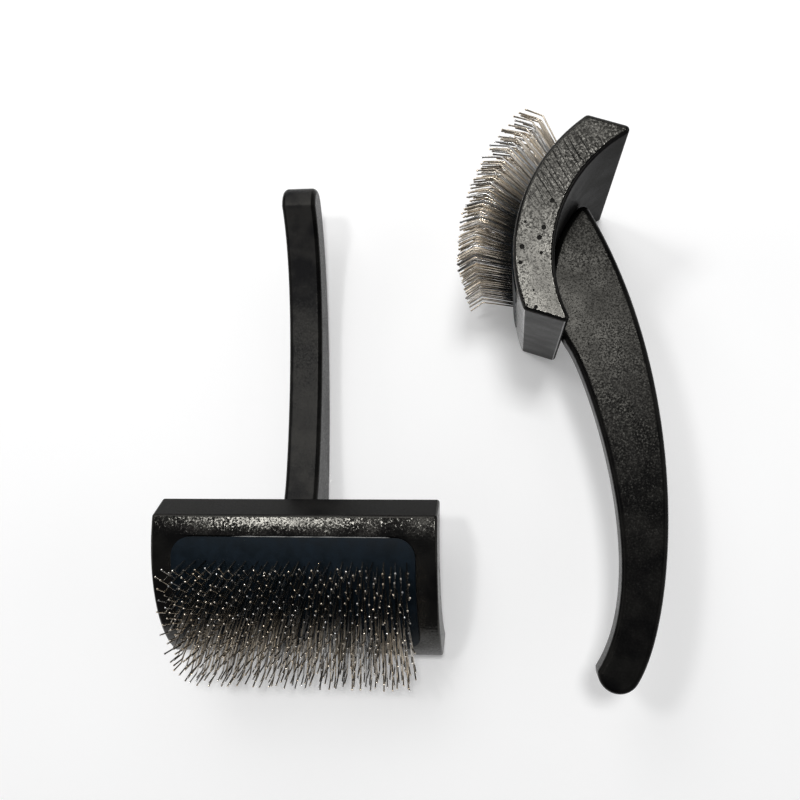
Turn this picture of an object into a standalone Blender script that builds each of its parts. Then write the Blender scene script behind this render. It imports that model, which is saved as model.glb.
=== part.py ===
"""A pair of hand carders lying on a table: curved wooden heads faced with bent wire teeth.

Both carders are made by the same functions in one frame of their own: X runs along the head,
Y along its chord away from the handle, and Z out through the teeth. The origin is the middle
of the head's convex face. One carder then lies on its back and the other on its side.
"""

from math import asin, cos, pi, radians, sin, sqrt, tan

import bmesh
import bpy
from mathutils import Vector

MM = 0.001

# Head block: a curved board, cut off square to its chord
HEAD_LENGTH = 115 * MM
HEAD_CHORD = 66 * MM
HEAD_RADIUS = 53 * MM
HEAD_THICKNESS = 13.4 * MM
HOLLOW_RADIUS = 44.5 * MM
HEAD_EDGE_ROUND = 1.5 * MM
HEAD_STEPS = 20

# Handle: a flat bowed bar, coped to the hollow back of the head
HANDLE_THICKNESS = 14 * MM
HANDLE_REACH = 106.8 * MM
HANDLE_DROP = 53.2 * MM
HANDLE_TIP_RADIUS = 7.6 * MM
HANDLE_NOSE_RADIUS = 2.6 * MM
HANDLE_NOSE_ANGLE = radians(21.7)
HANDLE_EDGE_ROUND = 2 * MM
BACK_START_SLOPE = radians(47.4)
BACK_START_PULL = 75 * MM
BACK_END_SLOPE = radians(14.7)
BACK_END_PULL = 26.7 * MM
FRONT_START_SLOPE = radians(56.9)
FRONT_START_PULL = 10 * MM
FRONT_END_SLOPE = radians(14.1)
FRONT_END_PULL = 41.8 * MM

# Screws: from under the pad, through the head, into the handle
SCREW_LENGTH = 28 * MM
SCREW_SHANK = 3.5 * MM
SCREW_HEAD = 7 * MM
SCREW_HEAD_RIM = 0.4 * MM
SCREW_HEAD_DEPTH = 2.2 * MM
SCREW_POINT = 4 * MM
SCREW_SINK = 0.2 * MM
SLOT_WIDTH = 1 * MM
SLOT_DEPTH = 0.9 * MM
MIDDLE_SCREW_ANGLE = radians(7)
NECK_SCREW_ANGLE = radians(-20)
SCREW_SIDES = 12

# Pad: a felt underlay and the rubber facing that holds the teeth, let into the head's face
PAD_BORDER = 8.6 * MM
PAD_CORNER_RADIUS = 8 * MM
PAD_CORNER_STEPS = 5
PAD_RECESS = 1.8 * MM
UNDERLAY_THICKNESS = 0.8 * MM
FACING_THICKNESS = 1 * MM

# Teeth: bent wires set in staggered rows across the facing
TOOTH_WIRE = 0.55 * MM
TOOTH_SHANK = 12.9 * MM
TOOTH_TIP = 6.8 * MM
FIRST_ROW_LEAN = radians(11)
LAST_ROW_LEAN = radians(15.5)
TOOTH_BEND = radians(43)
TOOTH_SPLAY = radians(9)
TOOTH_PITCH = 4.5 * MM
TOOTH_ROWS = 13
TOOTH_ROOT_DEPTH = 0.6 * MM
TOOTH_SIDE_MARGIN = 3.6 * MM
FIELD_START_MARGIN = 9.4 * MM
FIELD_END_MARGIN = 1 * MM

# Fits between pieces that touch
GLUE_LINE = 0.2 * MM
SCREW_FIT = 0.2 * MM
PAD_FIT = 0.3 * MM

# How the pair lies on the table
PAIR_GAP = 32.7 * MM
PAIR_STEP = 138.5 * MM
SIDE_TURN = radians(-18.2)
TILT_TRIALS = 40

# Worked out from the sizes above
HALF_LENGTH = HEAD_LENGTH / 2
HALF_CHORD = HEAD_CHORD / 2
COPE_RADIUS = HOLLOW_RADIUS - GLUE_LINE
SEAT_RADIUS = HEAD_RADIUS - PAD_RECESS
UNDERLAY_RADIUS = SEAT_RADIUS + GLUE_LINE
FACING_RADIUS = UNDERLAY_RADIUS + UNDERLAY_THICKNESS + GLUE_LINE
PAD_RADIUS = FACING_RADIUS + FACING_THICKNESS
HEAD_HALF_ANGLE = asin(HALF_CHORD / HEAD_RADIUS)
PAD_HALF_ANGLE = HEAD_HALF_ANGLE - PAD_BORDER / HEAD_RADIUS
PAD_HALF_LENGTH = HALF_LENGTH - PAD_BORDER
FIRST_ROW_ANGLE = FIELD_START_MARGIN / HEAD_RADIUS - PAD_HALF_ANGLE
LAST_ROW_ANGLE = PAD_HALF_ANGLE - FIELD_END_MARGIN / HEAD_RADIUS
ROW_ANGLE = (LAST_ROW_ANGLE - FIRST_ROW_ANGLE) / (TOOTH_ROWS - 1)
ROW_LEAN = (LAST_ROW_LEAN - FIRST_ROW_LEAN) / (TOOTH_ROWS - 1)
CURVE_CENTRE = Vector((0, -HEAD_RADIUS))
HOLLOW_CENTRE = Vector((0, -HEAD_THICKNESS - HOLLOW_RADIUS))


def direction(angle):
    """Unit vector in the Y-Z plane, turned from +Z towards +Y."""
    return Vector((sin(angle), cos(angle)))


def arc(centre, radius, start, end, steps):
    """Points of a circular arc in the Y-Z plane."""
    turn = (end - start) / steps
    return [centre + radius * direction(start + turn * i) for i in range(steps + 1)]


def bezier(start, start_pull, end_pull, end, steps):
    """Inner points of a cubic curve whose pulls are offsets from its two ends."""
    first = start + start_pull
    second = end + end_pull
    points = []
    for i in range(1, steps):
        t = i / steps
        s = 1 - t
        points.append(s**3 * start + 3 * s * s * t * first + 3 * s * t * t * second + t**3 * end)
    return points


def lacquer(name):
    return surface(name, (0.012, 0.012, 0.013), 0.35)


def surface(name, colour, roughness, metallic=0.0):
    made = bpy.data.materials.new(name)
    made.use_nodes = True
    shader = made.node_tree.nodes["Principled BSDF"]
    shader.inputs["Base Color"].default_value = (*colour, 1)
    shader.inputs["Roughness"].default_value = roughness
    shader.inputs["Metallic"].default_value = metallic
    made.diffuse_color = (*colour, 1)
    return made


def add_object(name, shape, frame, material=None):
    """Turn a bmesh into a named object that rides on a carder's frame."""
    bmesh.ops.recalc_face_normals(shape, faces=shape.faces)
    mesh = bpy.data.meshes.new(name)
    shape.to_mesh(mesh)
    shape.free()
    made = bpy.data.objects.new(name, mesh)
    bpy.context.collection.objects.link(made)
    made.parent = frame
    if material:
        mesh.materials.append(material)
    return made


def add_cutter(name, shape, frame):
    made = add_object(name, shape, frame)
    made.hide_render = True
    made.display_type = "WIRE"
    return made


def combine(target, other, operation):
    change = target.modifiers.new(other.name, "BOOLEAN")
    change.operation = operation
    change.solver = "EXACT"
    change.object = other


def round_edges(target, width, segments):
    change = target.modifiers.new("rounded_edges", "BEVEL")
    change.width = width
    change.segments = segments
    change.limit_method = "ANGLE"
    change.angle_limit = radians(40)


def prism(outline, thickness):
    """Closed Y-Z outline with thickness along X, centred on X = 0."""
    shape = bmesh.new()
    near = [shape.verts.new((-thickness / 2, p.x, p.y)) for p in outline]
    far = [shape.verts.new((thickness / 2, p.x, p.y)) for p in outline]
    shape.faces.new(near)
    shape.faces.new(far)
    for i, vertex in enumerate(near):
        after = (i + 1) % len(near)
        shape.faces.new((vertex, near[after], far[after], far[i]))
    return shape


def turned(profile, sides):
    """Solid of revolution about Z; the profile runs from axis to axis as (radius, height)."""
    shape = bmesh.new()
    rings = []
    for radius, height in profile:
        count = sides if radius else 1
        ring = []
        for i in range(count):
            angle = 2 * pi * i / sides
            ring.append(shape.verts.new((radius * cos(angle), radius * sin(angle), height)))
        rings.append(ring)
    for upper, lower in zip(rings, rings[1:]):
        for i in range(sides):
            corners = [upper[i % len(upper)], upper[(i + 1) % len(upper)]]
            corners += [lower[(i + 1) % len(lower)], lower[i % len(lower)]]
            shape.faces.new(dict.fromkeys(corners))
    return shape


def head_outline():
    hollow_half_angle = asin(HALF_CHORD / HOLLOW_RADIUS)
    face = arc(CURVE_CENTRE, HEAD_RADIUS, -HEAD_HALF_ANGLE, HEAD_HALF_ANGLE, HEAD_STEPS)
    hollow = arc(HOLLOW_CENTRE, HOLLOW_RADIUS, hollow_half_angle, -hollow_half_angle, HEAD_STEPS)
    return face + hollow


def make_head(side, frame, bores):
    head = add_object(f"{side}_head_block", prism(head_outline(), HEAD_LENGTH), frame,
                      lacquer(f"{side}_head_lacquer"))
    round_edges(head, HEAD_EDGE_ROUND, 2)
    recess = pad_sheet(SEAT_RADIUS, 2 * PAD_RECESS, PAD_FIT)
    combine(head, add_cutter(f"{side}_recess", recess, frame), "DIFFERENCE")
    for bore in bores:
        combine(head, bore, "DIFFERENCE")
    return head


def handle_outline():
    """Coped seat, rounded nose, bowed back, round tip and bowed front, in that order."""
    seat_end = -asin(HALF_CHORD / COPE_RADIUS)
    seat = arc(HOLLOW_CENTRE, COPE_RADIUS, seat_end, HANDLE_NOSE_ANGLE, 12)
    nose_centre = HOLLOW_CENTRE + (COPE_RADIUS - HANDLE_NOSE_RADIUS) * direction(HANDLE_NOSE_ANGLE)
    nose = arc(nose_centre, HANDLE_NOSE_RADIUS, HANDLE_NOSE_ANGLE, pi - BACK_START_SLOPE, 5)
    tip_centre = seat[0] - Vector((HANDLE_REACH, HANDLE_DROP))
    tip = arc(tip_centre, HANDLE_TIP_RADIUS, pi + BACK_END_SLOPE, 2 * pi - FRONT_END_SLOPE, 9)
    back = bezier(nose[-1], BACK_START_PULL * direction(1.5 * pi - BACK_START_SLOPE),
                  BACK_END_PULL * direction(0.5 * pi + BACK_END_SLOPE), tip[0], 14)
    front = bezier(tip[-1], FRONT_END_PULL * direction(0.5 * pi + FRONT_END_SLOPE),
                   FRONT_START_PULL * direction(1.5 * pi - FRONT_START_SLOPE), seat[0], 12)
    return seat + nose[1:] + back + tip + front


def make_handle(side, frame, bores):
    handle = add_object(f"{side}_handle", prism(handle_outline(), HANDLE_THICKNESS), frame,
                        lacquer(f"{side}_handle_lacquer"))
    round_edges(handle, HANDLE_EDGE_ROUND, 2)
    for bore in bores:
        combine(handle, bore, "DIFFERENCE")
    return handle


def screw_profile():
    shank = SCREW_SHANK / 2
    rim = SCREW_HEAD / 2
    return [(0, 0), (rim, 0), (rim, -SCREW_HEAD_RIM), (shank, -SCREW_HEAD_DEPTH),
            (shank, SCREW_POINT - SCREW_LENGTH), (0, -SCREW_LENGTH)]


def bore_profile():
    """The screw's own profile with its fit, open above the head and blunt at the end."""
    shank = SCREW_SHANK / 2 + SCREW_FIT
    rim = SCREW_HEAD / 2 + SCREW_FIT
    above = SCREW_HEAD_DEPTH
    end = -SCREW_LENGTH - SCREW_FIT
    return [(0, above), (rim, above), (rim, -SCREW_HEAD_RIM - SCREW_FIT),
            (shank, -SCREW_HEAD_DEPTH - SCREW_FIT), (shank, end), (0, end)]


def seat_on_curve(made, angle, radius):
    """Put an object's own Z axis along the curve's normal at an angle of the head."""
    point = CURVE_CENTRE + radius * direction(angle)
    made.location = (0, point.x, point.y)
    made.rotation_euler = (-angle, 0, 0)


def slot_box():
    shape = bmesh.new()
    bmesh.ops.create_cube(shape, size=1)
    bmesh.ops.scale(shape, vec=(2 * SCREW_HEAD, SLOT_WIDTH, 2 * SLOT_DEPTH), verts=shape.verts)
    return shape


def make_bore(name, frame, angle):
    bore = add_cutter(f"{name}_bore", turned(bore_profile(), SCREW_SIDES), frame)
    seat_on_curve(bore, angle, SEAT_RADIUS - SCREW_SINK)
    return bore


def make_screw(name, frame, angle):
    screw = add_object(name, turned(screw_profile(), SCREW_SIDES), frame,
                       surface(f"{name}_steel", (0.5, 0.5, 0.52), 0.35, 1.0))
    slot = add_cutter(f"{name}_slot", slot_box(), frame)
    for made in (screw, slot):
        seat_on_curve(made, angle, SEAT_RADIUS - SCREW_SINK)
    combine(screw, slot, "DIFFERENCE")
    return screw


def pad_half_length(angle, fit=0):
    """Half the pad's length at an angle on the curve, less towards its rounded corners."""
    corner = PAD_CORNER_RADIUS + fit
    half = PAD_HALF_LENGTH + fit
    into_corner = HEAD_RADIUS * (abs(angle) - PAD_HALF_ANGLE) - fit + corner
    if into_corner <= 0:
        return half
    return half - corner + sqrt(max(corner**2 - into_corner**2, 0))


def pad_angles(fit):
    """Where the pad's facets meet: close together in the corners, then one for each row of teeth."""
    corner = []
    for i in range(PAD_CORNER_STEPS + 1):
        inset = (PAD_CORNER_RADIUS + fit) * (1 - cos(pi / 2 * i / PAD_CORNER_STEPS))
        corner.append(PAD_HALF_ANGLE + (fit - inset) / HEAD_RADIUS)
    between = [FIRST_ROW_ANGLE + ROW_ANGLE * (i - 0.5) for i in range(TOOTH_ROWS + 1)]
    clear = corner[-1] - ROW_ANGLE / 4
    return [-a for a in corner] + [a for a in between if abs(a) < clear] + corner[::-1]


def pad_sheet(radius, thickness, fit=0):
    """A layer with the pad's outline: a sheet bent round the head, its edges square to the curve."""
    shape = bmesh.new()
    rings = []
    for angle in pad_angles(fit):
        half = pad_half_length(angle, fit)
        outer = CURVE_CENTRE + (radius + thickness) * direction(angle)
        inner = CURVE_CENTRE + radius * direction(angle)
        corners = ((-half, outer), (half, outer), (half, inner), (-half, inner))
        rings.append([shape.verts.new((x, p.x, p.y)) for x, p in corners])
    for before, after in zip(rings, rings[1:]):
        for i in range(4):
            j = (i + 1) % 4
            shape.faces.new((before[i], before[j], after[j], after[i]))
    shape.faces.new(rings[0])
    shape.faces.new(rings[-1])
    return shape


def make_underlay(side, frame):
    return add_object(f"{side}_felt_underlay", pad_sheet(UNDERLAY_RADIUS, UNDERLAY_THICKNESS),
                      frame, surface(f"{side}_felt", (0.1, 0.1, 0.11), 0.95))


def tooth_places():
    """(x, angle on the curve, lean) of each tooth, row by row, clear of the pad's edge."""
    half_columns = int(PAD_HALF_LENGTH / TOOTH_PITCH) + 1
    for row in range(TOOTH_ROWS):
        angle = FIRST_ROW_ANGLE + ROW_ANGLE * row
        reach = pad_half_length(angle) - TOOTH_SIDE_MARGIN
        stagger = TOOTH_PITCH / 4 if row % 2 else -TOOTH_PITCH / 4
        for column in range(-half_columns, half_columns):
            x = (column + 0.5) * TOOTH_PITCH + stagger
            if abs(x) <= reach:
                yield x, angle, FIRST_ROW_LEAN + ROW_LEAN * row


def add_tooth(shape, x, angle, lean):
    """One three-sided wire: it leans away from the handle, then bends back towards it."""
    shank_way = direction(angle + lean)
    tip_way = direction(angle + lean - TOOTH_BEND)
    mitre_way = direction(angle + lean - TOOTH_BEND / 2)
    shank = TOOTH_SHANK + TOOTH_ROOT_DEPTH
    root = CURVE_CENTRE + (PAD_RADIUS - TOOTH_ROOT_DEPTH) * direction(angle)
    knee = root + shank * shank_way
    tip = knee + TOOTH_TIP * tip_way
    splay = tan(TOOTH_SPLAY) * x / PAD_HALF_LENGTH
    stations = (
        (root, shank_way, 0),
        (knee, mitre_way, shank),
        (tip, tip_way, shank + TOOTH_TIP),
    )
    rings = []
    for centre, way, along in stations:
        across = Vector((way.y, -way.x))
        ring = []
        for corner in range(3):
            turn = 2 * pi * corner / 3
            spot = centre + across * cos(turn) * TOOTH_WIRE / 2
            side = x + splay * along + sin(turn) * TOOTH_WIRE / 2
            ring.append(shape.verts.new((side, spot.x, spot.y)))
        rings.append(ring)
    for lower, upper in zip(rings, rings[1:]):
        for i in range(3):
            after = (i + 1) % 3
            shape.faces.new((lower[i], lower[after], upper[after], upper[i]))
    shape.faces.new(rings[0])
    shape.faces.new(rings[-1])


def make_clothing(side, frame):
    """Rubber facing and its teeth as one solid, the way card clothing is bought and fitted."""
    clothing = add_object(f"{side}_card_clothing", pad_sheet(FACING_RADIUS, FACING_THICKNESS),
                          frame, surface(f"{side}_rubber", (0.02, 0.025, 0.035), 0.7))
    teeth = bmesh.new()
    for x, angle, lean in tooth_places():
        add_tooth(teeth, x, angle, lean)
    combine(clothing, add_cutter(f"{side}_teeth", teeth, frame), "UNION")
    return clothing


def make_carder(side):
    """All the pieces of one carder, riding on a frame of their own."""
    frame = bpy.data.objects.new(f"{side}_carder_frame", None)
    bpy.context.collection.objects.link(frame)
    screws = ((f"{side}_middle_screw", MIDDLE_SCREW_ANGLE), (f"{side}_neck_screw", NECK_SCREW_ANGLE))
    bores = [make_bore(name, frame, angle) for name, angle in screws]
    pieces = [make_head(side, frame, bores), make_handle(side, frame, bores)]
    pieces += [make_screw(name, frame, angle) for name, angle in screws]
    pieces += [make_underlay(side, frame), make_clothing(side, frame)]
    return frame, pieces


def finished_points(made):
    """World positions of an object's vertices after its modifiers."""
    bpy.context.view_layer.update()
    final = made.evaluated_get(bpy.context.evaluated_depsgraph_get())
    return [final.matrix_world @ vertex.co for vertex in final.data.vertices]


def lowest(points, tilt):
    return min(p.z * cos(tilt) - p.y * sin(tilt) for p in points)


def resting_tilt(head, handle):
    """Tilt at which the head's far edge and the handle's back touch the table together."""
    head_points = finished_points(head)
    handle_points = finished_points(handle)
    low = 0
    high = pi / 3
    for _ in range(TILT_TRIALS):
        tilt = (low + high) / 2
        if lowest(handle_points, tilt) < lowest(head_points, tilt):
            low = tilt
        else:
            high = tilt
    return tilt, -lowest(head_points, tilt)


def lay_on_back(frame, pieces):
    """Teeth up, handle towards +Y."""
    tilt, height = resting_tilt(pieces[0], pieces[1])
    frame.rotation_euler = (-tilt, 0, pi)
    frame.location = (0, 0, height)


def lay_on_side(frame):
    """One end face of the head on the table, teeth towards -X, handle towards -Y."""
    frame.rotation_euler = (0, -pi / 2, SIDE_TURN)
    frame.location = (HALF_LENGTH + PAIR_GAP, PAIR_STEP, HALF_LENGTH)


def centre_on_table(frames, pieces):
    """Move the pair so that the middle of its outline is over the origin."""
    points = [point for piece in pieces for point in finished_points(piece)]
    for axis in range(2):
        values = [point[axis] for point in points]
        middle = (min(values) + max(values)) / 2
        for frame in frames:
            frame.location[axis] -= middle


def main():
    for old in list(bpy.data.objects):
        bpy.data.objects.remove(old)
    left_frame, left_pieces = make_carder("left")
    right_frame, right_pieces = make_carder("right")
    lay_on_back(left_frame, left_pieces)
    lay_on_side(right_frame)
    centre_on_table((left_frame, right_frame), left_pieces + right_pieces)


main()
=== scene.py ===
"""Dresses the pair of hand carders: black lacquer on wood, a rubber pad and bent steel teeth.

Each carder is made in a frame of its own: X runs along the head, Y along its chord away from
the handle, and Z out through the teeth, with the origin on the middle of the convex face.
"""

import random
from math import asin, atan2, cos, pi, radians, sin, sqrt, tan

import bmesh
import bpy
from mathutils import Euler, Matrix, Vector


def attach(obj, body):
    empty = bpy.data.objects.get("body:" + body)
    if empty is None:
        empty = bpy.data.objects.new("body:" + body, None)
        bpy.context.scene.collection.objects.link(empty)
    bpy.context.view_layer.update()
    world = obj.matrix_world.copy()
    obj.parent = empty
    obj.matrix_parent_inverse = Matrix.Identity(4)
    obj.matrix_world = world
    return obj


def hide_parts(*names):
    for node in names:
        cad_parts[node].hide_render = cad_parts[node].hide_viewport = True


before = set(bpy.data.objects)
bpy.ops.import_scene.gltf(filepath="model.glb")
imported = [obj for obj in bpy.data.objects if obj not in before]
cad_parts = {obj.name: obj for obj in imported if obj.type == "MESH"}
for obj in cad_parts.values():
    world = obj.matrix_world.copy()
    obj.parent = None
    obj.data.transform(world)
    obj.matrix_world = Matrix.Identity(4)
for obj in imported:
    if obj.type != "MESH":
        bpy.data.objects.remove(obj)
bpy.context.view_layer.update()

MM = 0.001

# Head block
HEAD_LENGTH = 115 * MM
HEAD_CHORD = 66 * MM
HEAD_RADIUS = 53 * MM
HEAD_THICKNESS = 13.4 * MM
HOLLOW_RADIUS = 44.5 * MM
FACE_CORNER_ROUND = 1.7 * MM
HOLLOW_CORNER_ROUND = 1.5 * MM
HEAD_END_ROUND = 1.3 * MM
SAW_TILT = radians(-42)

# Handle
HANDLE_THICKNESS = 14 * MM
HANDLE_REACH = 106.8 * MM
HANDLE_DROP = 53.2 * MM
HANDLE_TIP_RADIUS = 7.6 * MM
HANDLE_NOSE_RADIUS = 2.6 * MM
HANDLE_NOSE_ANGLE = radians(21.7)
HANDLE_EDGE_ROUND = 2.2 * MM
BACK_START_SLOPE = radians(47.4)
BACK_START_PULL = 75 * MM
BACK_END_SLOPE = radians(14.7)
BACK_END_PULL = 26.7 * MM
FRONT_START_SLOPE = radians(56.9)
FRONT_START_PULL = 10 * MM
FRONT_END_SLOPE = radians(14.1)
FRONT_END_PULL = 41.8 * MM

# Pad
GLUE_LINE = 0.2 * MM
PAD_BORDER = 8.6 * MM
PAD_CORNER_RADIUS = 8 * MM
PAD_EDGE_ROUND = 0.25 * MM
PAD_RECESS = 1.8 * MM
PAD_FIT = 0.3 * MM
UNDERLAY_THICKNESS = 0.8 * MM
FACING_THICKNESS = 1 * MM
GLUE_WIDTH = 0.55 * MM
GLUE_START = -39 * MM
GLUE_END = 24 * MM

# Teeth
TOOTH_WIRE = 0.6 * MM
TOOTH_SHANK = 12.9 * MM
TOOTH_TIP = 6.8 * MM
FIRST_ROW_LEAN = radians(11)
LAST_ROW_LEAN = radians(15.5)
TOOTH_BEND = radians(43)
TOOTH_BEND_RADIUS = 1.3 * MM
TOOTH_SPLAY = radians(9)
TOOTH_PITCH = 4.2 * MM
TOOTH_ROWS = 25
TOOTH_ROOT_DEPTH = 0.6 * MM
TOOTH_SIDE_MARGIN = 3.6 * MM
FIELD_START_MARGIN = 9.4 * MM
FIELD_END_MARGIN = 1 * MM
TOOTH_SIDES = 7
TOOTH_END = ((1.3, 1.0), (0.95, 1.2), (0.55, 1.3), (0.22, 1.0), (0.03, 0.4))
TOOTH_PLACE_SPREAD = 0.25 * MM
TOOTH_ANGLE_SPREAD = radians(1.6)
TOOTH_SIDE_SPREAD = radians(2.2)
TOOTH_SHORTEST_TIP = 0.93
LEFT_TEETH_SEED = 11
RIGHT_TEETH_SEED = 12
WORN_WIRE = (0.34, 0.3, 0.25, 1)
# Wire tints from tooth to tooth: partly random tone, partly painted reflection (the cream, beige and
# grey-blue tints) and painted shade (the near-black tint, for the dark gaps between wires)
TOOTH_TINTS_AND_PAINTED_LIGHT = (
    (0.0, (0.80, 0.66, 0.48, 1)),
    (0.22, (0.92, 0.85, 0.75, 1)),
    (0.42, (0.84, 0.73, 0.58, 1)),
    (0.6, (0.09, 0.08, 0.07, 1)),
    (0.78, (0.78, 0.80, 0.82, 1)),
    (0.9, (0.90, 0.82, 0.71, 1)),
    (1.0, (0.48, 0.35, 0.28, 1)),
)

# Rubber
RUBBER_DARK = (0.002, 0.005, 0.008, 1)
RUBBER_LIGHT = (0.004, 0.009, 0.015, 1)

# Lacquer, with the grains of its skin counted per metre
FINE_GRAIN = 1600
COARSE_GRAIN = 1250
LACQUER_GLINT = (1, 0.97, 0.88, 1)
LACQUER_GREY = 0.005
# Lighter base of the handle's narrow sides: painted light, standing in for their lit look
SIDE_PAINTED_LIGHT_GREY = 0.02
HOLLOW_GREY = 0.008

# Marks on the sawn ends of the head, with lines and pores counted per metre
SAW_LINES = 800
SAW_LINE_STRETCH = 16
SAW_LINE_DEPTH = 0.16
PORE_CELLS = 230
PORE_DEPTH = 0.5 * MM
PORE_DULLNESS = 0.6

# Least share of a face's normal along X on the head's ends, along Y on its long edges and down Z in
# its hollow, and the most along X on the handle's narrow sides
END_FACING = 0.99
EDGE_FACING = 0.95
HOLLOW_FACING = -0.5
SIDE_FACING = 0.2

# How the carders lie on the table
LEFT_PLACE = Vector((-42.314, -69.547, 39.142)) * MM
RIGHT_PLACE = Vector((47.886, 68.953, 57.5)) * MM
BACK_TILT = 0.47001
SIDE_TURN = radians(-18.2)

# Camera, fitted to the corners of both carders in the photograph
CAMERA_PLACE = Vector((0.0461, -0.01587, 0.43094))
CAMERA_TARGET = Vector((-0.00457, 0.01329, 0))
CAMERA_LENS = 44.82
CAMERA_SENSOR = 36

# The floor glows a little for the camera, so that it comes out white around the shadow
FLOOR_COLOUR = (0.86, 0.86, 0.86, 1)
FLOOR_HALF_SIZE = 3
FLOOR_LIFT = 0.2
WORLD_GREY = (0.07, 0.07, 0.072, 1)

# Softboxes: name, place, target, width, height and brightness
SOFTBOXES = (
    ("right_key", (0.1, 0.2, 1.1), (0.06, 0.05, 0.1), 0.12, 0.12, 105),
    ("left_key", (-0.305, 0.26, 1.1), (-0.04, -0.05, 0.04), 0.12, 0.12, 54),
    ("top_panel", (-0.3, 0.68, 1.1), (-0.04, -0.1, 0.03), 0.5, 0.5, 3),
    ("back_wall", (-0.05, 1.05, 0.65), (-0.02, 0, 0.1), 1.6, 0.9, 1.1),
    ("left_side", (-1.0, 0, 0.5), (0, 0, 0.05), 0.9, 0.6, 1.0),
    ("right_side", (1.0, 0, 0.5), (0, 0, 0.05), 0.9, 0.6, 1.0),
)

# Worked out from the sizes above
HALF_LENGTH = HEAD_LENGTH / 2
HALF_CHORD = HEAD_CHORD / 2
COPE_RADIUS = HOLLOW_RADIUS - GLUE_LINE
SEAT_RADIUS = HEAD_RADIUS - PAD_RECESS
FACING_RADIUS = SEAT_RADIUS + UNDERLAY_THICKNESS + 2 * GLUE_LINE
PAD_RADIUS = FACING_RADIUS + FACING_THICKNESS
HEAD_HALF_ANGLE = asin(HALF_CHORD / HEAD_RADIUS)
PAD_HALF_ANGLE = HEAD_HALF_ANGLE - PAD_BORDER / HEAD_RADIUS
PAD_HALF_LENGTH = HALF_LENGTH - PAD_BORDER
FIRST_ROW_ANGLE = FIELD_START_MARGIN / HEAD_RADIUS - PAD_HALF_ANGLE
LAST_ROW_ANGLE = PAD_HALF_ANGLE - FIELD_END_MARGIN / HEAD_RADIUS
ROW_ANGLE = (LAST_ROW_ANGLE - FIRST_ROW_ANGLE) / (TOOTH_ROWS - 1)
ROW_LEAN = (LAST_ROW_LEAN - FIRST_ROW_LEAN) / (TOOTH_ROWS - 1)
CURVE_CENTRE = Vector((0, -HEAD_RADIUS))
HOLLOW_CENTRE = Vector((0, -HEAD_THICKNESS - HOLLOW_RADIUS))


def direction(angle):
    """Unit vector in the Y-Z plane, turned from +Z towards +Y."""
    return Vector((sin(angle), cos(angle)))


def arc(centre, radius, start, end, steps):
    """Points of a circular arc in the Y-Z plane."""
    turn = (end - start) / steps
    return [centre + radius * direction(start + turn * i) for i in range(steps + 1)]


def bezier(start, start_pull, end_pull, end, steps):
    """Inner points of a cubic curve whose pulls are offsets from its two ends."""
    first = start + start_pull
    second = end + end_pull
    points = []
    for i in range(1, steps):
        t = i / steps
        s = 1 - t
        points.append(s**3 * start + 3 * s * s * t * first + 3 * s * t * t * second + t**3 * end)
    return points


# Node helpers


def new_material(name):
    made = bpy.data.materials.new(name)
    made.use_nodes = True
    tree = made.node_tree
    return made, tree, tree.nodes["Principled BSDF"]


def add_node(tree, kind, settings=None, inputs=None):
    node = tree.nodes.new(kind)
    for key, value in (settings or {}).items():
        setattr(node, key, value)
    for key, value in (inputs or {}).items():
        if isinstance(value, bpy.types.NodeSocket):
            tree.links.new(value, node.inputs[key])
        else:
            node.inputs[key].default_value = value
    return node


def carder_place(tree):
    """Where the point lies on its carder, before the carder is laid on the table."""
    return add_node(tree, "ShaderNodeAttribute", {"attribute_name": "carder_place"}).outputs["Vector"]


def noise_texture(tree, vector, scale, detail=3.0, rough=0.5, output="Fac"):
    node = add_node(tree, "ShaderNodeTexNoise", inputs={
        "Vector": vector, "Scale": scale, "Detail": detail, "Roughness": rough})
    return node.outputs[output]


def ramp(tree, value, low, high, from_value=0.0, to_value=1.0):
    node = add_node(tree, "ShaderNodeMapRange", {"interpolation_type": "SMOOTHSTEP"}, {
        "Value": value, "From Min": low, "From Max": high, "To Min": from_value, "To Max": to_value})
    return node.outputs["Result"]


def maths(tree, operation, first, second):
    node = add_node(tree, "ShaderNodeMath", {"operation": operation}, {0: first, 1: second})
    return node.outputs["Value"]


def vector_maths(tree, operation, first, second=None):
    inputs = {0: first}
    if second:
        inputs[1] = second
    return add_node(tree, "ShaderNodeVectorMath", {"operation": operation}, inputs).outputs["Vector"]


def bump(tree, height, strength, distance, below=None):
    inputs = {"Height": height, "Strength": strength, "Distance": distance}
    if below:
        inputs["Normal"] = below
    return add_node(tree, "ShaderNodeBump", inputs=inputs).outputs["Normal"]


def mix_colour(tree, factor, first, second):
    node = add_node(tree, "ShaderNodeMix", {"data_type": "RGBA"})
    sockets = (node.inputs["Factor"], node.inputs[6], node.inputs[7])
    for socket, value in zip(sockets, (factor, first, second)):
        if isinstance(value, bpy.types.NodeSocket):
            tree.links.new(value, socket)
        else:
            socket.default_value = value
    return node.outputs[2]


# Materials


def saw_marks(tree, place):
    """Uneven lines across the head's thickness, on the half away from the handle."""
    turn = add_node(tree, "ShaderNodeMapping", {"vector_type": "TEXTURE"}, {"Vector": place})
    turn.inputs["Rotation"].default_value = (SAW_TILT, 0, 0)
    turn.inputs["Scale"].default_value = (1, 1, SAW_LINE_STRETCH)
    lines = noise_texture(tree, turn.outputs["Vector"], SAW_LINES, 1, 0.5)
    split = add_node(tree, "ShaderNodeSeparateXYZ", inputs={"Vector": place})
    begin = ramp(tree, split.outputs["Y"], -2 * MM, 6 * MM)
    end = ramp(tree, split.outputs["Y"], 30 * MM, 18 * MM)
    return maths(tree, "MULTIPLY", ramp(tree, lines, 0.47, 0.62), maths(tree, "MULTIPLY", begin, end))


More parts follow.
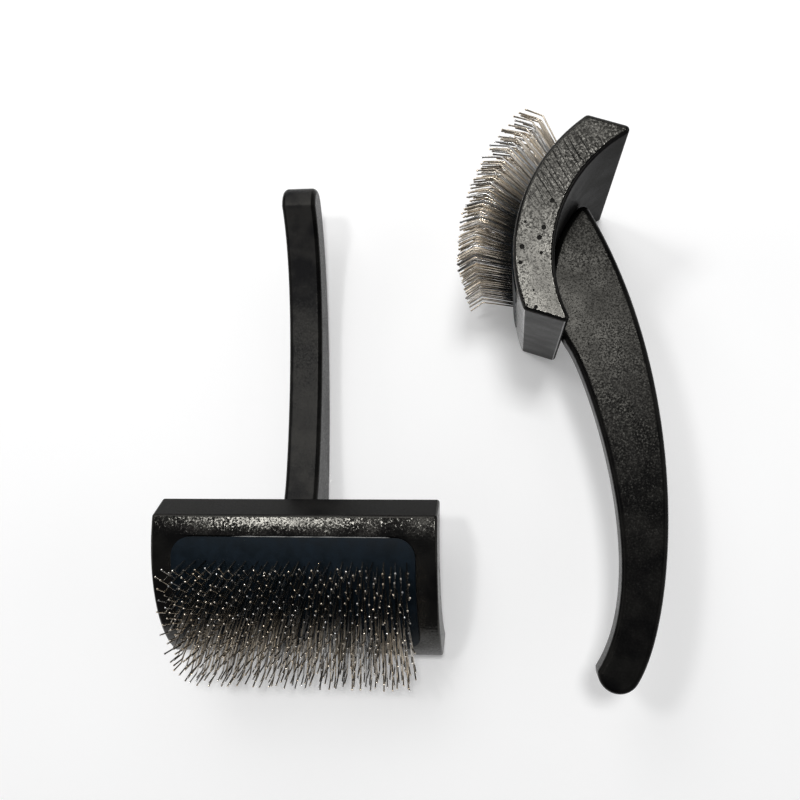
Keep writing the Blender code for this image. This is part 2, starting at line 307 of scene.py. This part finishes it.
def open_pores(tree, place):
    """Sparse pits up to a millimetre wide, on the half near the handle."""
    parts = add_node(tree, "ShaderNodeSeparateXYZ", inputs={"Vector": place})
    flat = add_node(tree, "ShaderNodeCombineXYZ", inputs={
        "X": parts.outputs["Y"], "Y": parts.outputs["Z"]})
    cells = add_node(tree, "ShaderNodeTexVoronoi", {"voronoi_dimensions": "2D"}, {
        "Vector": flat.outputs["Vector"], "Scale": PORE_CELLS})
    split = add_node(tree, "ShaderNodeSeparateColor", inputs={"Color": cells.outputs["Color"]})
    chosen = ramp(tree, split.outputs["Red"], 0.6, 0.62)
    here = maths(tree, "MULTIPLY", chosen, ramp(tree, parts.outputs["Y"], 14 * MM, 6 * MM))
    size = maths(tree, "ADD", maths(tree, "MULTIPLY", split.outputs["Green"], 0.11), 0.06)
    inside = ramp(tree, maths(tree, "DIVIDE", cells.outputs["Distance"], size), 1.2, 0.7)
    return maths(tree, "MULTIPLY", inside, here)


def lacquer(name, grains, tilt, specular, grey=LACQUER_GREY):
    """Satin black lacquer over wood: each small grain of its skin faces its own way."""
    made, tree, shader = new_material(name)
    place = carder_place(tree)
    noise = noise_texture(tree, place, grains, 1, 0.5, "Color")
    lean = vector_maths(tree, "SUBTRACT", noise, (0.5, 0.5, 0.5))
    lean = vector_maths(tree, "MULTIPLY", lean, (tilt, tilt, tilt))
    facing = add_node(tree, "ShaderNodeNewGeometry").outputs["Normal"]
    skin = vector_maths(tree, "NORMALIZE", vector_maths(tree, "ADD", facing, lean))
    clouds = noise_texture(tree, place, 90, 3, 0.5)
    dark = (0.6 * grey, 0.6 * grey, 0.64 * grey, 1)
    light = (1.4 * grey, 1.36 * grey, 1.3 * grey, 1)
    tint = mix_colour(tree, ramp(tree, clouds, 0.35, 0.65), dark, light)
    tree.links.new(tint, shader.inputs["Base Color"])
    shader.inputs["Specular IOR Level"].default_value = specular
    shader.inputs["Specular Tint"].default_value = LACQUER_GLINT
    roughness = ramp(tree, clouds, 0.3, 0.7, 0.2, 0.28)
    return made, tree, shader, roughness, skin


def plain_lacquer(name, grains, tilt, specular, duller, grey=LACQUER_GREY):
    """Lacquer with no marks in it; duller is added to its roughness."""
    made, tree, shader, roughness, skin = lacquer(name, grains, tilt, specular, grey)
    tree.links.new(skin, shader.inputs["Normal"])
    tree.links.new(maths(tree, "ADD", roughness, duller), shader.inputs["Roughness"])
    return made


def head_material():
    """Lacquer on the faces of the head that run along its grain."""
    return plain_lacquer("black_lacquer_head", COARSE_GRAIN, tilt=0.23, specular=0.27, duller=-0.09)


def edge_material():
    """Thin dull lacquer on the head's long edges."""
    return plain_lacquer("dull_lacquer_edges", FINE_GRAIN, tilt=0.12, specular=0.1, duller=0.22)


def end_grain_material():
    """Thicker lacquer on the head's sawn ends, with saw marks and open pores."""
    made, tree, shader, roughness, skin = lacquer(
        "black_lacquer_end_grain", FINE_GRAIN, tilt=0.36, specular=0.31)
    place = carder_place(tree)
    pores = open_pores(tree, place)
    lines = saw_marks(tree, place)
    depth = maths(tree, "ADD", pores, maths(tree, "MULTIPLY", lines, SAW_LINE_DEPTH))
    pitted = bump(tree, maths(tree, "SUBTRACT", 1.0, depth), 1.0, PORE_DEPTH, skin)
    tree.links.new(pitted, shader.inputs["Normal"])
    dull = maths(tree, "ADD", maths(tree, "MULTIPLY", pores, PORE_DULLNESS), 0.04)
    tree.links.new(maths(tree, "ADD", roughness, dull), shader.inputs["Roughness"])
    return made


def handle_material():
    """Lacquer on the two flat faces of the handle."""
    return plain_lacquer("black_lacquer_handle", FINE_GRAIN, tilt=0.26, specular=0.075, duller=0.03)


def side_material():
    """Dull lacquer round the handle's narrow sides, on a lighter grey base that is painted light."""
    return plain_lacquer(
        "dull_lacquer_sides", COARSE_GRAIN, tilt=0.36, specular=0.065, duller=0.1, grey=SIDE_PAINTED_LIGHT_GREY)


def hollow_material():
    """Dullest lacquer, in the head's hollow."""
    return plain_lacquer(
        "dull_lacquer_hollow", FINE_GRAIN, tilt=0.12, specular=0.012, duller=0.22, grey=HOLLOW_GREY)


def rubber_material():
    made, tree, shader = new_material("blue_black_rubber")
    place = carder_place(tree)
    fine = noise_texture(tree, place, 2200, 2, 0.5)
    dust = noise_texture(tree, place, 160, 4, 0.6)
    tree.links.new(bump(tree, fine, 0.3, 0.0001), shader.inputs["Normal"])
    tree.links.new(ramp(tree, dust, 0.35, 0.7, 0.45, 0.6), shader.inputs["Roughness"])
    tint = mix_colour(tree, ramp(tree, dust, 0.3, 0.75), RUBBER_DARK, RUBBER_LIGHT)
    tree.links.new(tint, shader.inputs["Base Color"])
    shader.inputs["Specular IOR Level"].default_value = 0.1
    return made


def glue_material():
    made, tree, shader = new_material("dried_glue")
    cloudy = noise_texture(tree, carder_place(tree), 300, 2, 0.5)
    tint = mix_colour(tree, cloudy, (0.05, 0.055, 0.06, 1), (0.3, 0.3, 0.29, 1))
    tree.links.new(tint, shader.inputs["Base Color"])
    shader.inputs["Roughness"].default_value = 0.4
    return made


def felt_material():
    made, tree, shader = new_material("dark_felt")
    place = add_node(tree, "ShaderNodeTexCoord").outputs["Object"]
    fuzz = noise_texture(tree, place, 1800, 4, 0.7)
    tree.links.new(bump(tree, fuzz, 0.7, 0.0003), shader.inputs["Normal"])
    tint = mix_colour(tree, fuzz, (0.012, 0.012, 0.013, 1), (0.04, 0.04, 0.042, 1))
    tree.links.new(tint, shader.inputs["Base Color"])
    shader.inputs["Roughness"].default_value = 0.95
    return made


def far_shanks_painted_bright(tree, place):
    """1 on the shanks of the rows far from the handle, 0 on all tips and on the near rows: where the
    wire is painted bright.
    """
    across = add_node(tree, "ShaderNodeSeparateXYZ", inputs={"Vector": place}).outputs["Y"]
    flat = vector_maths(tree, "MULTIPLY", place, (0, 1, 1))
    from_axis = vector_maths(tree, "ADD", flat, (0, 0, HEAD_RADIUS))
    length = add_node(tree, "ShaderNodeVectorMath", {"operation": "LENGTH"}, {0: from_axis})
    knee = PAD_RADIUS + TOOTH_SHANK
    far = ramp(tree, across, -2 * MM, 24 * MM)
    shank = ramp(tree, length.outputs["Value"], knee + 1 * MM, knee - 3 * MM)
    return maths(tree, "MULTIPLY", far, shank)


def tooth_material():
    """Drawn steel wire in tints that change from tooth to tooth, some of them painted reflection and
    painted shade, with painted brightness on the duller, less metallic far shanks.
    """
    made, tree, shader = new_material("drawn_steel_wire")
    place = carder_place(tree)
    tint = add_node(tree, "ShaderNodeAttribute", {"attribute_name": "tooth_tint"}).outputs["Fac"]
    shades = add_node(tree, "ShaderNodeValToRGB", inputs={"Fac": tint})
    shades.color_ramp.elements.remove(shades.color_ramp.elements[0])
    for spot, colour in TOOTH_TINTS_AND_PAINTED_LIGHT:
        shades.color_ramp.elements.new(spot).color = colour
    shades.color_ramp.elements.remove(shades.color_ramp.elements[-1])
    wear = ramp(tree, noise_texture(tree, place, 420, 2, 0.5), 0.35, 0.7, 0, 0.6)
    worn = mix_colour(tree, wear, shades.outputs["Color"], WORN_WIRE)
    tree.links.new(worn, shader.inputs["Base Color"])
    # Painted light: the far shanks turn less metallic, so their pale base colour shows as brightness
    # standing in for light falling on them
    dull = far_shanks_painted_bright(tree, place)
    roughness = maths(tree, "ADD", maths(tree, "MULTIPLY", dull, 0.14), 0.26)
    tree.links.new(roughness, shader.inputs["Roughness"])
    metallic = maths(tree, "SUBTRACT", 1.0, maths(tree, "MULTIPLY", dull, 0.8))
    tree.links.new(metallic, shader.inputs["Metallic"])
    return made


def screw_material():
    made, tree, shader = new_material("plain_screw_steel")
    place = add_node(tree, "ShaderNodeTexCoord").outputs["Object"]
    turning = noise_texture(tree, place, 700, 3, 0.6)
    tree.links.new(ramp(tree, turning, 0.3, 0.7, 0.25, 0.45), shader.inputs["Roughness"])
    tint = mix_colour(tree, turning, (0.42, 0.42, 0.44, 1), (0.58, 0.58, 0.6, 1))
    tree.links.new(tint, shader.inputs["Base Color"])
    shader.inputs["Metallic"].default_value = 1.0
    return made


# Shapes


def loft(loops):
    """Skin of closed loops of 3-D points, with its first and last loop closed by a face."""
    shape = bmesh.new()
    rings = [[shape.verts.new(point) for point in loop] for loop in loops]
    for before, after in zip(rings, rings[1:]):
        for i in range(len(before)):
            j = (i + 1) % len(before)
            shape.faces.new((before[i], before[j], after[j], after[i]))
    shape.faces.new(rings[0])
    shape.faces.new(rings[-1])
    bmesh.ops.recalc_face_normals(shape, faces=shape.faces)
    return shape


def add_piece(name, shape, material, smooth=True):
    mesh = bpy.data.meshes.new(name)
    shape.to_mesh(mesh)
    shape.free()
    for polygon in mesh.polygons:
        polygon.use_smooth = smooth
    remember_places(mesh)
    made = bpy.data.objects.new(name, mesh)
    bpy.context.collection.objects.link(made)
    mesh.materials.append(material)
    return made


def remember_places(mesh):
    """Keep each point's place on its carder, so that the grain follows the wood."""
    old = mesh.attributes.get("carder_place")
    if old:
        mesh.attributes.remove(old)
    places = mesh.attributes.new("carder_place", "FLOAT_VECTOR", "POINT")
    for vertex, place in zip(mesh.vertices, places.data):
        place.vector = vertex.co


def keep_flats(piece):
    """Even shading on the flat faces next to rounded edges."""
    change = piece.modifiers.new("flat_shading", "WEIGHTED_NORMAL")
    change.mode = "FACE_AREA"
    change.keep_sharp = True


def edge_stations(half, rounding, steps):
    """(position, inset) pairs across a slab whose two rims are rounded."""
    quarter = []
    for i in range(steps + 1):
        turn = pi / 2 * i / steps
        quarter.append((half - rounding * (1 - sin(turn)), rounding * (1 - cos(turn))))
    return [(-x, inset) for x, inset in reversed(quarter)] + quarter


def head_profile(inset):
    """Outline of the head's cross-section, drawn in by an inset."""
    half = HALF_CHORD - inset
    outer = HEAD_RADIUS - inset
    inner = HOLLOW_RADIUS + inset
    face_round = max(FACE_CORNER_ROUND - inset, 0.1 * MM)
    hollow_round = max(HOLLOW_CORNER_ROUND - inset, 0.1 * MM)
    face_y = half - face_round
    face_z = sqrt((outer - face_round) ** 2 - face_y**2)
    face_turn = atan2(face_y, face_z)
    hollow_y = half - hollow_round
    hollow_z = sqrt((inner + hollow_round) ** 2 - hollow_y**2)
    hollow_turn = atan2(hollow_y, hollow_z)
    far_face = CURVE_CENTRE + Vector((face_y, face_z))
    far_hollow = HOLLOW_CENTRE + Vector((hollow_y, hollow_z))
    near_hollow = HOLLOW_CENTRE + Vector((-hollow_y, hollow_z))
    near_face = CURVE_CENTRE + Vector((-face_y, face_z))
    points = arc(CURVE_CENTRE, outer, -face_turn, face_turn, 60)
    points += arc(far_face, face_round, face_turn, pi / 2, 6)[1:]
    points += arc(far_hollow, hollow_round, pi / 2, pi + hollow_turn, 8)
    points += arc(HOLLOW_CENTRE, inner, hollow_turn, -hollow_turn, 60)[1:]
    points += arc(near_hollow, hollow_round, pi - hollow_turn, 1.5 * pi, 8)[1:]
    points += arc(near_face, face_round, 1.5 * pi, 2 * pi - face_turn, 6)[:-1]
    return points


def head_shape():
    loops = []
    for x, inset in edge_stations(HALF_LENGTH, HEAD_END_ROUND, 5):
        loops.append([Vector((x, p.x, p.y)) for p in head_profile(inset)])
    return loft(loops)


def handle_outline():
    """Coped seat, rounded nose, bowed back, round tip and bowed front, in that order."""
    seat_end = -asin(HALF_CHORD / COPE_RADIUS)
    seat = arc(HOLLOW_CENTRE, COPE_RADIUS, seat_end, HANDLE_NOSE_ANGLE, 30)
    nose_centre = HOLLOW_CENTRE + (COPE_RADIUS - HANDLE_NOSE_RADIUS) * direction(HANDLE_NOSE_ANGLE)
    nose = arc(nose_centre, HANDLE_NOSE_RADIUS, HANDLE_NOSE_ANGLE, pi - BACK_START_SLOPE, 12)
    tip_centre = seat[0] - Vector((HANDLE_REACH, HANDLE_DROP))
    tip = arc(tip_centre, HANDLE_TIP_RADIUS, pi + BACK_END_SLOPE, 2 * pi - FRONT_END_SLOPE, 24)
    back = bezier(nose[-1], BACK_START_PULL * direction(1.5 * pi - BACK_START_SLOPE),
                  BACK_END_PULL * direction(0.5 * pi + BACK_END_SLOPE), tip[0], 50)
    front = bezier(tip[-1], FRONT_END_PULL * direction(0.5 * pi + FRONT_END_SLOPE),
                   FRONT_START_PULL * direction(1.5 * pi - FRONT_START_SLOPE), seat[0], 40)
    return seat + nose[1:] + back + tip + front


def drawn_in(outline, inset):
    """A closed outline moved inwards along its own normals."""
    moved = []
    for i, point in enumerate(outline):
        along = outline[(i + 1) % len(outline)] - outline[i - 1]
        along.normalize()
        moved.append(point + inset * Vector((along.y, -along.x)))
    return moved


def handle_shape():
    outline = handle_outline()
    loops = []
    for x, inset in edge_stations(HANDLE_THICKNESS / 2, HANDLE_EDGE_ROUND, 6):
        loops.append([Vector((x, p.x, p.y)) for p in drawn_in(outline, inset)])
    return loft(loops)


def handle_piece(name, material, sides):
    """Bowed handle, with a duller lacquer round its narrow sides."""
    piece = add_piece(name, handle_shape(), material)
    keep_flats(piece)
    piece.data.materials.append(sides)
    for polygon in piece.data.polygons:
        if abs(polygon.normal.x) < SIDE_FACING:
            polygon.material_index = 1
    return piece


def pad_half_length(angle, fit=0):
    """Half the pad's length at an angle on the curve, less towards its rounded corners."""
    corner = PAD_CORNER_RADIUS + fit
    half = PAD_HALF_LENGTH + fit
    into_corner = HEAD_RADIUS * (abs(angle) - PAD_HALF_ANGLE) - fit + corner
    if into_corner <= 0:
        return half
    return half - corner + sqrt(max(corner**2 - into_corner**2, 0))


def pad_angles(fit):
    """Stations across the pad, close together in its rounded corners."""
    corner = []
    for i in range(17):
        inset = (PAD_CORNER_RADIUS + fit) * (1 - cos(pi / 2 * i / 16))
        corner.append(PAD_HALF_ANGLE + (fit - inset) / HEAD_RADIUS)
    middle = [corner[-1] * (i / 20 - 1) for i in range(1, 40)]
    return [-a for a in corner] + middle + corner[::-1]


def pad_sheet(radius, thickness, fit=0):
    """A layer with the pad's outline: a sheet bent round the head, its edges square to the curve."""
    loops = []
    for angle in pad_angles(fit):
        half = pad_half_length(angle, fit)
        outer = CURVE_CENTRE + (radius + thickness) * direction(angle)
        inner = CURVE_CENTRE + radius * direction(angle)
        corners = ((-half, outer), (half, outer), (half, inner), (-half, inner))
        loops.append([Vector((x, p.x, p.y)) for x, p in corners])
    return loft(loops)


def facing_piece(name, material):
    """Rubber facing with soft edges."""
    piece = add_piece(name, pad_sheet(FACING_RADIUS, FACING_THICKNESS), material)
    soften = piece.modifiers.new("soft_edges", "BEVEL")
    soften.width = PAD_EDGE_ROUND
    soften.segments = 3
    soften.limit_method = "ANGLE"
    soften.angle_limit = radians(50)
    keep_flats(piece)
    apply_modifiers(piece)
    remember_places(piece.data)
    return piece


def head_piece(name, materials):
    """Head block with the shallow recess that the pad is glued into."""
    piece = add_piece(name, head_shape(), materials["head"])
    recess = pad_sheet(SEAT_RADIUS, 2 * PAD_RECESS, PAD_FIT)
    cutter = add_piece(f"{name}_recess", recess, materials["head"])
    cut = piece.modifiers.new("recess", "BOOLEAN")
    cut.operation = "DIFFERENCE"
    cut.solver = "EXACT"
    cut.object = cutter
    keep_flats(piece)
    apply_modifiers(piece)
    remember_places(piece.data)
    bpy.data.objects.remove(cutter)
    for key in ("end_grain", "edges", "hollow"):
        piece.data.materials.append(materials[key])
    for polygon in piece.data.polygons:
        if abs(polygon.normal.x) > END_FACING:
            polygon.material_index = 1
        elif abs(polygon.normal.y) > EDGE_FACING:
            polygon.material_index = 2
        elif polygon.normal.z < HOLLOW_FACING:
            polygon.material_index = 3
    return piece


def glue_piece(name, material):
    """Thin uneven line of glue squeezed out along the pad's edge on the handle's side."""
    angle = -PAD_HALF_ANGLE - 0.5 * PAD_FIT / HEAD_RADIUS
    centre = CURVE_CENTRE + (HEAD_RADIUS + 0.05 * MM) * direction(angle)
    loops = []
    for i in range(61):
        share = i / 60
        x = GLUE_START + (GLUE_END - GLUE_START) * share
        taper = min(1, 12 * share + 0.2, 12 * (1 - share) + 0.2)
        radius = GLUE_WIDTH / 2 * (0.75 + 0.25 * sin(37 * share)) * taper
        ring = arc(centre, radius, 0, 2 * pi, 8)[:-1]
        loops.append([Vector((x, p.x, p.y)) for p in ring])
    return add_piece(name, loft(loops), material)


def apply_modifiers(piece):
    """Bake the modifiers into the mesh, so that nothing else has to stay for them."""
    depsgraph = bpy.context.evaluated_depsgraph_get()
    depsgraph.update()
    final = bpy.data.meshes.new_from_object(piece.evaluated_get(depsgraph))
    piece.modifiers.clear()
    piece.data = final


def tooth_rows():
    """(x, angle on the curve, lean) of each tooth, in staggered rows clear of the pad's edge."""
    half_columns = int(PAD_HALF_LENGTH / TOOTH_PITCH) + 1
    for row in range(TOOTH_ROWS):
        angle = FIRST_ROW_ANGLE + ROW_ANGLE * row
        reach = pad_half_length(angle) - TOOTH_SIDE_MARGIN
        stagger = TOOTH_PITCH / 4 if row % 2 else -TOOTH_PITCH / 4
        for column in range(-half_columns, half_columns):
            x = (column + 0.5) * TOOTH_PITCH + stagger
            if abs(x) <= reach:
                yield x, angle, FIRST_ROW_LEAN + ROW_LEAN * row


def tooth_path(angle, lean, tip_length):
    """(point, travel angle, radius share) along one wire, from its root to its rounded end."""
    shank_turn = angle + lean
    tip_turn = shank_turn - TOOTH_BEND
    setback = TOOTH_BEND_RADIUS * tan(TOOTH_BEND / 2)
    root = CURVE_CENTRE + (PAD_RADIUS - TOOTH_ROOT_DEPTH) * direction(angle)
    bend_start = root + (TOOTH_SHANK + TOOTH_ROOT_DEPTH - setback) * direction(shank_turn)
    path = [(root, shank_turn, 1.0), (bend_start, shank_turn, 1.0)]
    bend_centre = bend_start - TOOTH_BEND_RADIUS * direction(shank_turn + pi / 2)
    for i in range(1, 5):
        turn = shank_turn - TOOTH_BEND * i / 4
        path.append((bend_centre + TOOTH_BEND_RADIUS * direction(turn + pi / 2), turn, 1.0))
    bend_end = path[-1][0]
    straight = tip_length - setback
    for back, share in TOOTH_END:
        path.append((bend_end + (straight - back * TOOTH_WIRE) * direction(tip_turn), tip_turn, share))
    return path


def add_tooth(shape, tint_layer, x, path, sideways, tint):
    """Skin one wire; sideways is how far it drifts along the head for each metre of wire."""
    rings = []
    along = 0
    before = path[0][0]
    for point, turn, share in path:
        along += (point - before).length
        before = point
        across = Vector((cos(turn), -sin(turn)))
        ring = []
        for corner in range(TOOTH_SIDES):
            around = 2 * pi * corner / TOOTH_SIDES
            spot = point + across * cos(around) * share * TOOTH_WIRE / 2
            side = x + sideways * along + sin(around) * share * TOOTH_WIRE / 2
            vertex = shape.verts.new((side, spot.x, spot.y))
            vertex[tint_layer] = tint
            ring.append(vertex)
        rings.append(ring)
    for lower, upper in zip(rings, rings[1:]):
        for i in range(TOOTH_SIDES):
            j = (i + 1) % TOOTH_SIDES
            shape.faces.new((lower[i], lower[j], upper[j], upper[i]))
    shape.faces.new(rings[0])
    shape.faces.new(rings[-1])


def teeth_piece(name, material, seed):
    """All the wires of one carder, each a little off its place, spreading towards the ends."""
    draw = random.Random(seed)
    shape = bmesh.new()
    tint_layer = shape.verts.layers.float.new("tooth_tint")
    for x, angle, lean in tooth_rows():
        place = x + draw.gauss(0, TOOTH_PLACE_SPREAD)
        splay = tan(TOOTH_SPLAY) * x / PAD_HALF_LENGTH + draw.gauss(0, TOOTH_SIDE_SPREAD)
        own_lean = lean + draw.gauss(0, TOOTH_ANGLE_SPREAD)
        tip_length = TOOTH_TIP * draw.uniform(TOOTH_SHORTEST_TIP, 1.0)
        path = tooth_path(angle, own_lean, tip_length)
        add_tooth(shape, tint_layer, place, path, splay, draw.random())
    bmesh.ops.recalc_face_normals(shape, faces=shape.faces)
    return add_piece(name, shape, material)


# Placing


def lay_down(pieces, place, turn):
    """Move a carder's pieces from their own frame to where the carder lies on the table."""
    for piece in pieces:
        piece.data.transform(Matrix.Translation(place) @ turn.to_matrix().to_4x4())
        piece.data.update()


def dress_carder(side, place, turn, seed, materials):
    head = head_piece(f"{side}_head", materials)
    handle = handle_piece(f"{side}_bowed_handle", materials["handle"], materials["sides"])
    facing = facing_piece(f"{side}_facing", materials["rubber"])
    teeth = teeth_piece(f"{side}_teeth", materials["teeth"], seed)
    glue = glue_piece(f"{side}_glue_line", materials["glue"])
    lay_down((head, handle, facing, teeth, glue), place, turn)
    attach(glue, f"{side}_carder")
    for piece, node, slot in (
            (head, "head_block", "black_lacquered_wood"),
            (handle, "handle", "black_lacquered_wood"),
            (facing, "card_clothing", "card_clothing_rubber"),
            (teeth, "card_clothing", "card_clothing_rubber")):
        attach(piece, f"{side}_carder")
        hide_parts(f"{side}_{node}")
    for node, key in (("middle_screw", "screw"), ("neck_screw", "screw"), ("felt_underlay", "felt")):
        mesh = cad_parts[f"{side}_{node}"].data
        mesh.materials.clear()
        mesh.materials.append(materials[key])


# Stage


def floor():
    shape = bmesh.new()
    bmesh.ops.create_grid(shape, x_segments=1, y_segments=1, size=FLOOR_HALF_SIZE)
    made, tree, shader = new_material("pale_floor")
    shader.inputs["Base Color"].default_value = FLOOR_COLOUR
    shader.inputs["Roughness"].default_value = 0.9
    shader.inputs["Specular IOR Level"].default_value = 0.0
    path = add_node(tree, "ShaderNodeLightPath")
    seen = maths(tree, "MAXIMUM", path.outputs["Is Camera Ray"], path.outputs["Is Glossy Ray"])
    seen = maths(tree, "MAXIMUM", seen, path.outputs["Is Transmission Ray"])
    shader.inputs["Emission Color"].default_value = (1, 1, 1, 1)
    tree.links.new(maths(tree, "MULTIPLY", seen, FLOOR_LIFT), shader.inputs["Emission Strength"])
    add_piece("floor", shape, made, False)


def world_light():
    world = bpy.data.worlds.new("studio")
    bpy.context.scene.world = world
    world.use_nodes = True
    world.node_tree.nodes["Background"].inputs["Color"].default_value = WORLD_GREY


def soft_light(name, place, target, width, height, radiance):
    """A softbox of a given brightness; its power follows from its size."""
    data = bpy.data.lights.new(name, "AREA")
    data.shape = "RECTANGLE"
    data.size = width
    data.size_y = height
    data.energy = radiance * pi * width * height
    made = bpy.data.objects.new(name, data)
    bpy.context.collection.objects.link(made)
    made.location = place
    made.rotation_euler = (Vector(target) - Vector(place)).to_track_quat("-Z", "Y").to_euler()


def camera():
    data = bpy.data.cameras.new("photo_view")
    data.lens = CAMERA_LENS
    data.sensor_width = CAMERA_SENSOR
    data.clip_start = 0.01
    made = bpy.data.objects.new("photo_view", data)
    bpy.context.collection.objects.link(made)
    ahead = (CAMERA_TARGET - CAMERA_PLACE).normalized()
    right = ahead.cross(Vector((0, 1, 0))).normalized()
    up = right.cross(ahead)
    turn = Matrix((right, up, -ahead)).transposed().to_4x4()
    made.matrix_world = Matrix.Translation(CAMERA_PLACE) @ turn
    bpy.context.scene.camera = made


def main():
    bpy.context.scene.view_settings.view_transform = "Standard"
    materials = {
        "head": head_material(),
        "end_grain": end_grain_material(),
        "edges": edge_material(),
        "handle": handle_material(),
        "sides": side_material(),
        "hollow": hollow_material(),
        "rubber": rubber_material(),
        "glue": glue_material(),
        "teeth": tooth_material(),
        "screw": screw_material(),
        "felt": felt_material(),
    }
    dress_carder("left", LEFT_PLACE, Euler((-BACK_TILT, 0, pi)), LEFT_TEETH_SEED, materials)
    dress_carder("right", RIGHT_PLACE, Euler((0, -pi / 2, SIDE_TURN)), RIGHT_TEETH_SEED, materials)
    floor()
    world_light()
    for softbox in SOFTBOXES:
        soft_light(*softbox)
    camera()


main()
